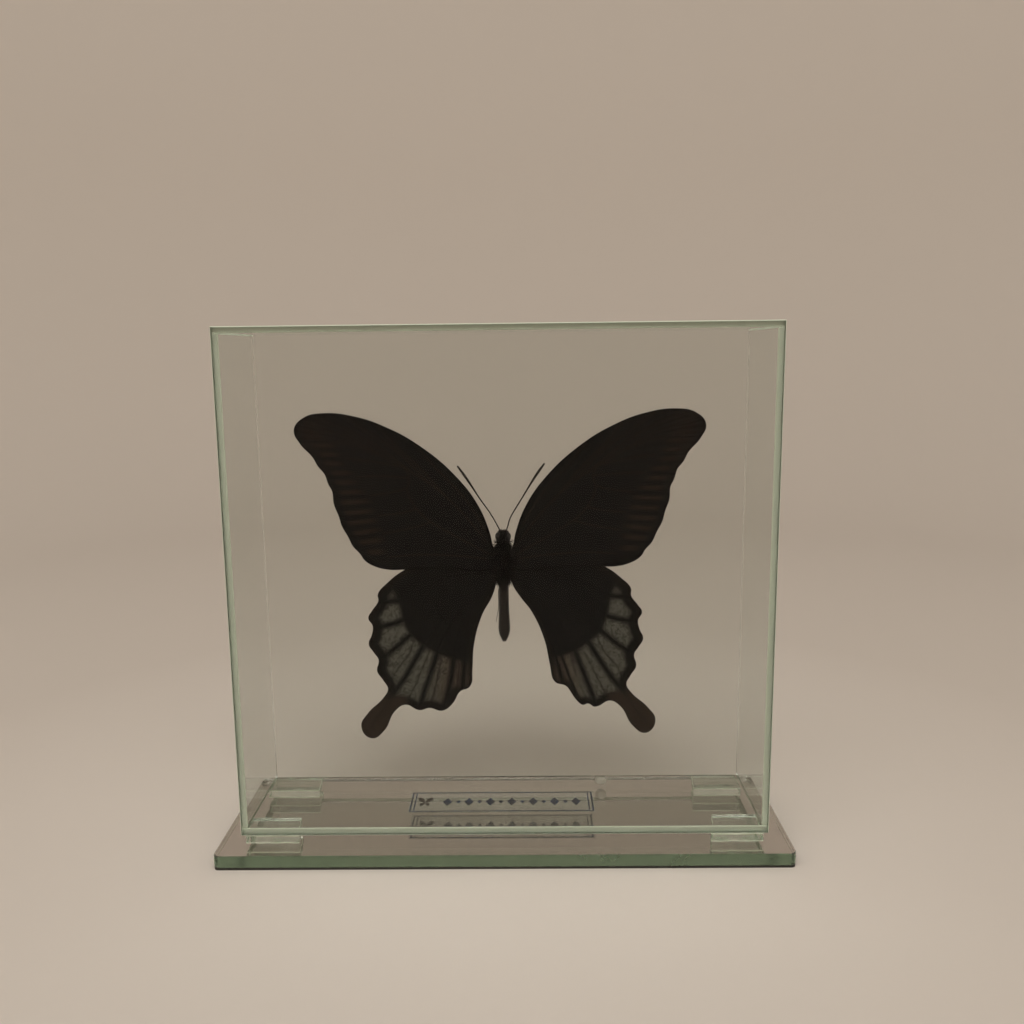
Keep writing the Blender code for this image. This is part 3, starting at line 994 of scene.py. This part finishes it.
def distance_to(points, line, closed=False):
    """Distance from each point to a polyline."""
    line = np.asarray(line, dtype=float)
    if closed:
        line = np.vstack([line, line[:1]])
    best = np.full(len(points), 1e9)
    for a, b in zip(line[:-1], line[1:]):
        ab = b - a
        t = np.clip(((points - a) @ ab) / max(ab @ ab, 1e-12), 0.0, 1.0)
        gap = points - (a + t[:, None] * ab)
        best = np.minimum(best, np.hypot(gap[:, 0], gap[:, 1]))
    return best


def inside(points, polygon):
    """Whether each point is inside a polygon."""
    polygon = np.asarray(polygon, dtype=float)
    hit = np.zeros(len(points), dtype=bool)
    x, z = points[:, 0], points[:, 1]
    for (x0, z0), (x1, z1) in zip(polygon, np.roll(polygon, -1, axis=0)):
        crosses = (z0 > z) != (z1 > z)
        at = x0 + (z - z0) / np.where(z1 == z0, 1e-9, z1 - z0) * (x1 - x0)
        hit ^= crosses & (x < at)
    return hit


def wing_sheet(outline):
    """Points and triangles that fill a wing's outline, in mm."""
    edge = smooth_outline(outline)
    keep = [edge[0]]
    for point in edge[1:]:
        if np.hypot(*(point - keep[-1])) > 0.2:
            keep.append(point)
    edge = np.array(keep)
    lo = edge.min(0)
    hi = edge.max(0)
    rows = np.arange(lo[1], hi[1], WING_GRID * 0.866)
    columns = np.arange(lo[0], hi[0], WING_GRID)
    grid = []
    for i, z in enumerate(rows):
        shift = WING_GRID / 2 * (i % 2)
        grid.append(np.column_stack([columns + shift, np.full(len(columns), z)]))
    grid = np.vstack(grid)
    grid = grid[inside(grid, edge)]
    grid = grid[distance_to(grid, edge, closed=True) > WING_GRID * 0.6]
    points = np.vstack([edge, grid])
    rim = [(i, (i + 1) % len(edge)) for i in range(len(edge))]
    verts, _, faces, _, _, _ = delaunay_2d_cdt([Vector(p) for p in points], rim, [], 1, 1e-6)
    return np.array([tuple(v) for v in verts]), [tuple(f) for f in faces], edge


def smooth_line(line, steps=6):
    """A vein's points joined by a smooth curve (Catmull-Rom)."""
    p = np.asarray(line, dtype=float)
    p = np.vstack([2 * p[0] - p[1], p, 2 * p[-1] - p[-2]])
    out = []
    for i in range(1, len(p) - 2):
        for k in range(steps):
            t = k / steps
            a, b, c, d = p[i - 1], p[i], p[i + 1], p[i + 2]
            out.append(0.5 * (2 * b + (c - a) * t + (2 * a - 5 * b + 4 * c - d) * t * t
                              + (3 * b - a - 3 * c + d) * t ** 3))
    out.append(p[-2])
    return np.array(out)


def vein_distances(points, veins):
    return np.array([distance_to(points, smooth_line(line)) for line in veins])


def forewing_pattern(points, edge):
    """Brown rays in the outer third, two in each space between the veins."""
    away = vein_distances(points, FORE_VEINS)
    near = np.sort(away, axis=0)[:2]
    phase = near[0] / np.maximum(near[0] + near[1], 1e-6)
    ray = np.sin(2.0 * np.pi * phase) ** 2
    rim = distance_to(points, edge, closed=True)
    start = np.array(RAYS_FROM)
    order = np.argsort(start[:, 1])
    depth = points[:, 0] - np.interp(points[:, 1], start[order, 1], start[order, 0])
    strength = smoothstep(-0.5, 4.5, depth) * smoothstep(1.2, 3.4, rim)
    tip = smoothstep(50.0, 63.0, points[:, 0]) * 0.75
    front = smoothstep(30.0, 50.0, points[:, 0]) * 0.25
    warm = np.clip(np.maximum(ray ** 1.3 * strength, np.maximum(tip * 0.55, front * 0.4)), 0.0, 1.0)
    vein = np.exp(-(near[0] / 0.26) ** 2)
    none = np.zeros(len(points))
    basal = smoothstep(3.0, -1.0, depth) * smoothstep(2.0, 8.0, points[:, 0])
    return {"band": none, "warm": warm, "vein": vein * (1.0 - basal), "anal": none, "stem": vein * basal}


def hindwing_pattern(points, edge):
    """A pale band of rounded patches, cut by dark veins and folds; dark centre, border and tail."""
    veins = vein_distances(points, HIND_VEINS[:CUTTING_VEINS])
    vein = veins.min(0)
    fold = vein_distances(points, HIND_FOLDS).min(0)
    rim = distance_to(points, edge, closed=True)
    band = distance_to(points, BAND_INNER, closed=True) * np.where(inside(points, BAND_INNER), -1.0, 1.0)
    lower = smoothstep(-36.0, -44.0, points[:, 1])
    border = 3.0 - 0.6 * lower - 1.5 * smoothstep(19.0, 14.0, points[:, 0])
    depth = [np.maximum(d, 0.02) for d in (rim - border + 0.5, vein - 0.1, band + 0.3)]
    room = sum(d ** -2.5 for d in depth) ** (-1 / 2.5)
    pale = smoothstep(0.0, 2.0, room)
    pale *= 1.0 - 0.62 * np.exp(-(fold / 0.42) ** 2)
    tail = smoothstep(-46.0, -50.0, points[:, 1]) * smoothstep(33.0, 36.0, points[:, 0])
    costal = smoothstep(-14.6, -12.6, points[:, 1]) * 0.35
    pale *= (1.0 - tail) * (1.0 - costal)
    pale *= 1.0 - 0.10 * smoothstep(26.0, 14.0, points[:, 0])
    warm = np.clip(tail + 0.35 * smoothstep(3.0, 0.5, rim), 0.0, 1.0)
    anal = smoothstep(30.0, 16.0, points[:, 0]) * smoothstep(-28.0, -36.0, points[:, 1])
    pale = np.maximum(pale, 0.16 * tail)
    anal = np.maximum(anal, tail)
    ridge = np.minimum(vein, vein_distances(points, HIND_VEINS[CUTTING_VEINS:]).min(0))
    ridge = np.exp(-(ridge / 0.26) ** 2)
    return {"band": pale, "warm": warm, "vein": ridge, "anal": anal, "stem": np.zeros(len(points))}


def wing_place(points, side, turn, scale, fold):
    """Moves a right wing's points to where this specimen holds the wing."""
    dx = points[:, 0] - WING_PIVOT[0]
    dz = points[:, 1] - WING_PIVOT[1]
    radius = np.hypot(dx, dz) * scale
    angle = np.degrees(np.arctan2(dz, dx))
    share = np.clip((FOLD_FROM - angle) / (FOLD_FROM - FOLD_FULL), 0.0, 1.0)
    angle = np.radians(angle + fold * share * smoothstep(6.0, 14.0, radius) + turn)
    x = WING_PIVOT[0] + radius * np.cos(angle)
    z = WING_PIVOT[1] + radius * np.sin(angle)
    return np.column_stack([side * x, z])


def camber(points):
    """How far the spread wings sway off their plane, in mm. It is even on both sides."""
    x = np.abs(points[:, 0])
    z = points[:, 1]
    return 0.35 * np.sin(x / 17.0) + 0.22 * np.sin(z / 11.0 + 1.0) - 0.10 * np.sin(x / 6.0 + z / 9.0)


def make_wing(name, points, faces, values, mats):
    side, y, turn, scale, fold = WINGS[name]
    flat = wing_place(points, side, turn, scale, fold)
    lift = y + camber(flat) - 0.09 * values["vein"] + 0.05 * values["pleat"]
    verts = np.column_stack([flat[:, 0] * MM + THORAX.x, lift * MM, flat[:, 1] * MM + THORAX.z])
    flipped = [f[::-1] for f in faces] if side > 0 else faces
    mesh = mesh_from(name + "_scales", verts, flipped)
    if sum(p.normal.y for p in mesh.polygons) > 0.0:
        mesh.flip_normals()
    for key, value in values.items():
        if key != "pleat":
            point_values(mesh, key, value)
    obj = piece(name + "_membrane", mesh, mats, [name])
    thick = obj.modifiers.new("Thickness", "SOLIDIFY")
    thick.thickness = WING_T * MM
    thick.offset = 0.0
    thick.material_offset = 1


def make_wings():
    mats = [
        wing_scales("wing_upper", *UPPER_SCALES, False),
        wing_scales("wing_under", *UNDER_SCALES, True),
    ]
    jobs = (
        (FOREWING, forewing_pattern, FORE_VEINS, ("forewing_left", "forewing_right")),
        (HINDWING, hindwing_pattern, HIND_VEINS, ("hindwing_left", "hindwing_right")),
    )
    for outline, pattern, veins, names in jobs:
        points, faces, edge = wing_sheet(outline)
        values = pattern(points, edge)
        near = np.sort(vein_distances(points, veins), axis=0)[:2]
        phase = near[0] / np.maximum(near[0] + near[1], 1e-6)
        values["pleat"] = np.cos(4.0 * np.pi * phase) * smoothstep(12.0, 30.0, np.abs(points[:, 0]))
        for name in names:
            make_wing(name, points, faces, values, mats)


# Body

def lofted(name, profile, steps, around, shape_of):
    """A body part through (half width, height) rings; shape_of changes the radius around each ring."""
    line = smooth_line(profile, steps)
    verts = []
    for half, z in line:
        for k in range(around):
            turn = 2.0 * math.pi * k / around
            grow = shape_of(z, turn)
            verts.append((half * grow * math.cos(turn), half * BODY_DEPTH * grow * math.sin(turn), z))
    rings = len(line)
    faces = [tuple(range(around)), tuple(range((rings - 1) * around, rings * around))[::-1]]
    faces += ring_faces(around, rings, downwards=True)
    return mesh_from(name, from_thorax(verts), faces)


def abdomen_shape(z, turn):
    """Slight waists between the segments."""
    segment = (z + SEGMENT_FROM) / SEGMENT
    return 1.0 - 0.055 * math.cos(2.0 * math.pi * segment) ** 8 + 0.02 * math.cos(2 * turn)


def make_abdomen():
    mesh = lofted("abdomen", ABDOMEN, 8, 40, abdomen_shape)
    ring = []
    side = []
    for vert in mesh.vertices:
        z = (vert.co.z - THORAX.z) / MM
        x = (vert.co.x - THORAX.x) / MM
        ring.append(math.cos(math.pi * (z + SEGMENT_FROM) / SEGMENT) ** 16)
        side.append(smoothstep(0.9, 1.7, abs(x)) * (0.5 + 0.5 * math.sin(z * 2.56)))
    point_values(mesh, "ring", ring)
    point_values(mesh, "side", side)
    piece("abdomen", mesh, [abdomen_scales()], ["butterfly_body"])


def ellipsoid(name, centre, radii, rows=20, around=28):
    """A closed rounded form, a little flattened at its top."""
    verts = []
    for i in range(1, rows):
        lift = math.pi * i / rows
        for k in range(around):
            turn = 2.0 * math.pi * k / around
            verts.append((
                centre[0] + radii[0] * math.sin(lift) * math.cos(turn),
                centre[1] + radii[1] * math.sin(lift) * math.sin(turn),
                centre[2] + radii[2] * math.cos(lift) * (1.0 - 0.08 * math.cos(lift)),
            ))
    faces = ring_faces(around, rows - 1, downwards=True)
    faces.append(tuple(range(around)))
    faces.append(tuple(range((rows - 2) * around, (rows - 1) * around))[::-1])
    return mesh_from(name, from_thorax(verts), faces)


def fibre_mesh(name, fibres):
    """Hairs as thin three-sided cones. Each is root, direction, bend, length, radius and shade."""
    verts = []
    faces = []
    tips = []
    shades = []
    for root, way, bend, length, radius, shade in fibres:
        side = way.orthogonal().normalized()
        other = way.cross(side)
        start = len(verts)
        for along, size in ((0.0, 1.0), (0.5, 0.75)):
            centre = root + way * (length * along) + bend * (length * along * along)
            for k in range(3):
                turn = 2.0 * math.pi * k / 3
                verts.append(centre + (side * math.cos(turn) + other * math.sin(turn)) * radius * size)
                tips.append(along)
                shades.append(shade)
        verts.append(root + way * length + bend * length)
        tips.append(1.0)
        shades.append(shade)
        for k in range(3):
            a, b = start + k, start + (k + 1) % 3
            faces.append((a, b, b + 3, a + 3))
            faces.append((a + 3, b + 3, start + 6))
    mesh = mesh_from(name, from_thorax(verts), faces)
    point_values(mesh, "tip", tips)
    point_values(mesh, "shade", shades)
    return mesh


def body_fibres(profile, count, seed, length, radius, droop):
    """Hairs rooted all over a body part, combed backwards down the body."""
    rng = random.Random(seed)
    line = smooth_line(profile, 8)
    fibres = []
    for _ in range(count):
        half, z = line[rng.randrange(2, len(line) - 2)]
        z += rng.uniform(-0.2, 0.2)
        turn = rng.uniform(0.0, 2.0 * math.pi)
        out = Vector((math.cos(turn), math.sin(turn) / BODY_DEPTH, 0.0)).normalized()
        root = Vector((half * math.cos(turn) * 0.95, half * BODY_DEPTH * math.sin(turn) * 0.95, z))
        comb = Vector((rng.uniform(-0.25, 0.25), rng.uniform(-0.25, 0.25), -droop))
        way = (out * rng.uniform(0.25, 0.8) + comb).normalized()
        bend = Vector((0.0, 0.0, -0.35)) + Vector((rng.uniform(-0.2, 0.2), rng.uniform(-0.2, 0.2), 0.0))
        fibres.append((root, way, bend, rng.uniform(*length), radius, rng.random() ** 2))
    return fibres


def tuft(centre, spread, way, count, seed, length, radius):
    """A bunch of hairs round one place, with one general direction."""
    rng = random.Random(seed)
    fibres = []
    for _ in range(count):
        root = Vector([c + rng.gauss(0.0, s) for c, s in zip(centre, spread)])
        aim = (Vector(way) + Vector([rng.uniform(-0.35, 0.35) for _ in range(3)])).normalized()
        bend = Vector([rng.uniform(-0.25, 0.25) for _ in range(3)])
        fibres.append((root, aim, bend, rng.uniform(*length), radius, rng.random() ** 2))
    return fibres


def make_body():
    skin = cuticle()
    dark = hair("body_hair", *DARK_HAIR)
    chest = lofted("thorax", CHEST, 6, 40, lambda z, turn: 1.0 + 0.03 * math.cos(3 * turn + z))
    piece("thorax", chest, [skin], ["butterfly_body"])
    head = lofted("head", HEAD, 6, 32, lambda z, turn: 1.0)
    piece("head", head, [skin], ["butterfly_body"])
    glassy = eye_shell()
    for side, name in ((-1, "eye_left"), (1, "eye_right")):
        eye = ellipsoid(name, (side * EYE[0], EYE[1], EYE[2]), EYE_R)
        piece(name, eye, [glassy], ["butterfly_body"])
    make_abdomen()
    fibres = body_fibres(CHEST, *CHEST_HAIR)
    fibres += tuft(*RUMP_TUFT)
    for side in (-1, 1):
        for centre, spread, way, count, seed, length, radius in SIDE_TUFTS:
            at = (side * centre[0], centre[1], centre[2])
            aim = (side * way[0], way[1], way[2])
            fibres += tuft(at, spread, aim, count, seed + side, length, radius)
    fibres += tuft(*FRONT_TUFT)
    piece("thorax_hair", fibre_mesh("thorax_hair", fibres), [dark], ["butterfly_body"])
    fibres = body_fibres(HEAD, *HEAD_HAIR)
    fibres += tuft(*FACE_TUFT)
    piece("head_hair", fibre_mesh("head_hair", fibres), [dark], ["butterfly_body"])
    fibres = body_fibres(ABDOMEN, *ABDOMEN_HAIR)
    brown = hair("abdomen_hair", *BROWN_HAIR)
    piece("abdomen_hair", fibre_mesh("abdomen_hair", fibres), [brown], ["butterfly_body"])


def tube(name, points, radii, mat, nodes, around=10):
    """A round tube through points in mm from the thorax's centre."""
    line = smooth_line(points, 8)
    sizes = np.interp(np.linspace(0.0, 1.0, len(line)), np.linspace(0.0, 1.0, len(radii)), radii)
    verts = []
    side = Vector((0.0, 1.0, 0.0))
    for i, point in enumerate(line):
        ahead = Vector(line[min(i + 1, len(line) - 1)]) - Vector(line[max(i - 1, 0)])
        ahead.normalize()
        side = (side - ahead * side.dot(ahead)).normalized()
        other = ahead.cross(side)
        for k in range(around):
            turn = 2.0 * math.pi * k / around
            ring = (side * math.cos(turn) + other * math.sin(turn)) * float(sizes[i])
            verts.append((Vector(point) + ring) * MM + THORAX)
    n = len(line)
    faces = [tuple(range(around))[::-1], tuple(range((n - 1) * around, n * around))]
    faces += ring_faces(around, n)
    mesh = mesh_from(name, verts, faces)
    piece(name, mesh, [mat], nodes)


def antenna_skin():
    """Skin of the antennae and legs."""
    colors = (0.0066, 0.0053, 0.0046), (0.0231, 0.0185, 0.0152)
    rough = (0.3, 0.7, 0.4, 0.6)
    return grained("antenna_skin", (2600.0, 2.0), colors, rough, (0.05, 0.6), (1.0, 1.0, 2.0)).mat


def make_limbs():
    skin = antenna_skin()
    for name, points in ANTENNAE.items():
        along = [(x, -1.0, z) if i == 0 else (x, 0.0, z) for i, (x, z) in enumerate(points)]
        tube(name.replace("antenna", "feeler"), along, ANTENNA_RADII, skin, [name])
    for name, points in LEGS.items():
        tube(name, points, LEG_RADII, skin, ["butterfly_body"], 8)


make_camera()
make_studio()
make_lights()
set_view()
make_case()
make_base()
make_feet()
make_label()
make_glue()
make_mount()
make_wings()
make_body()
make_limbs()
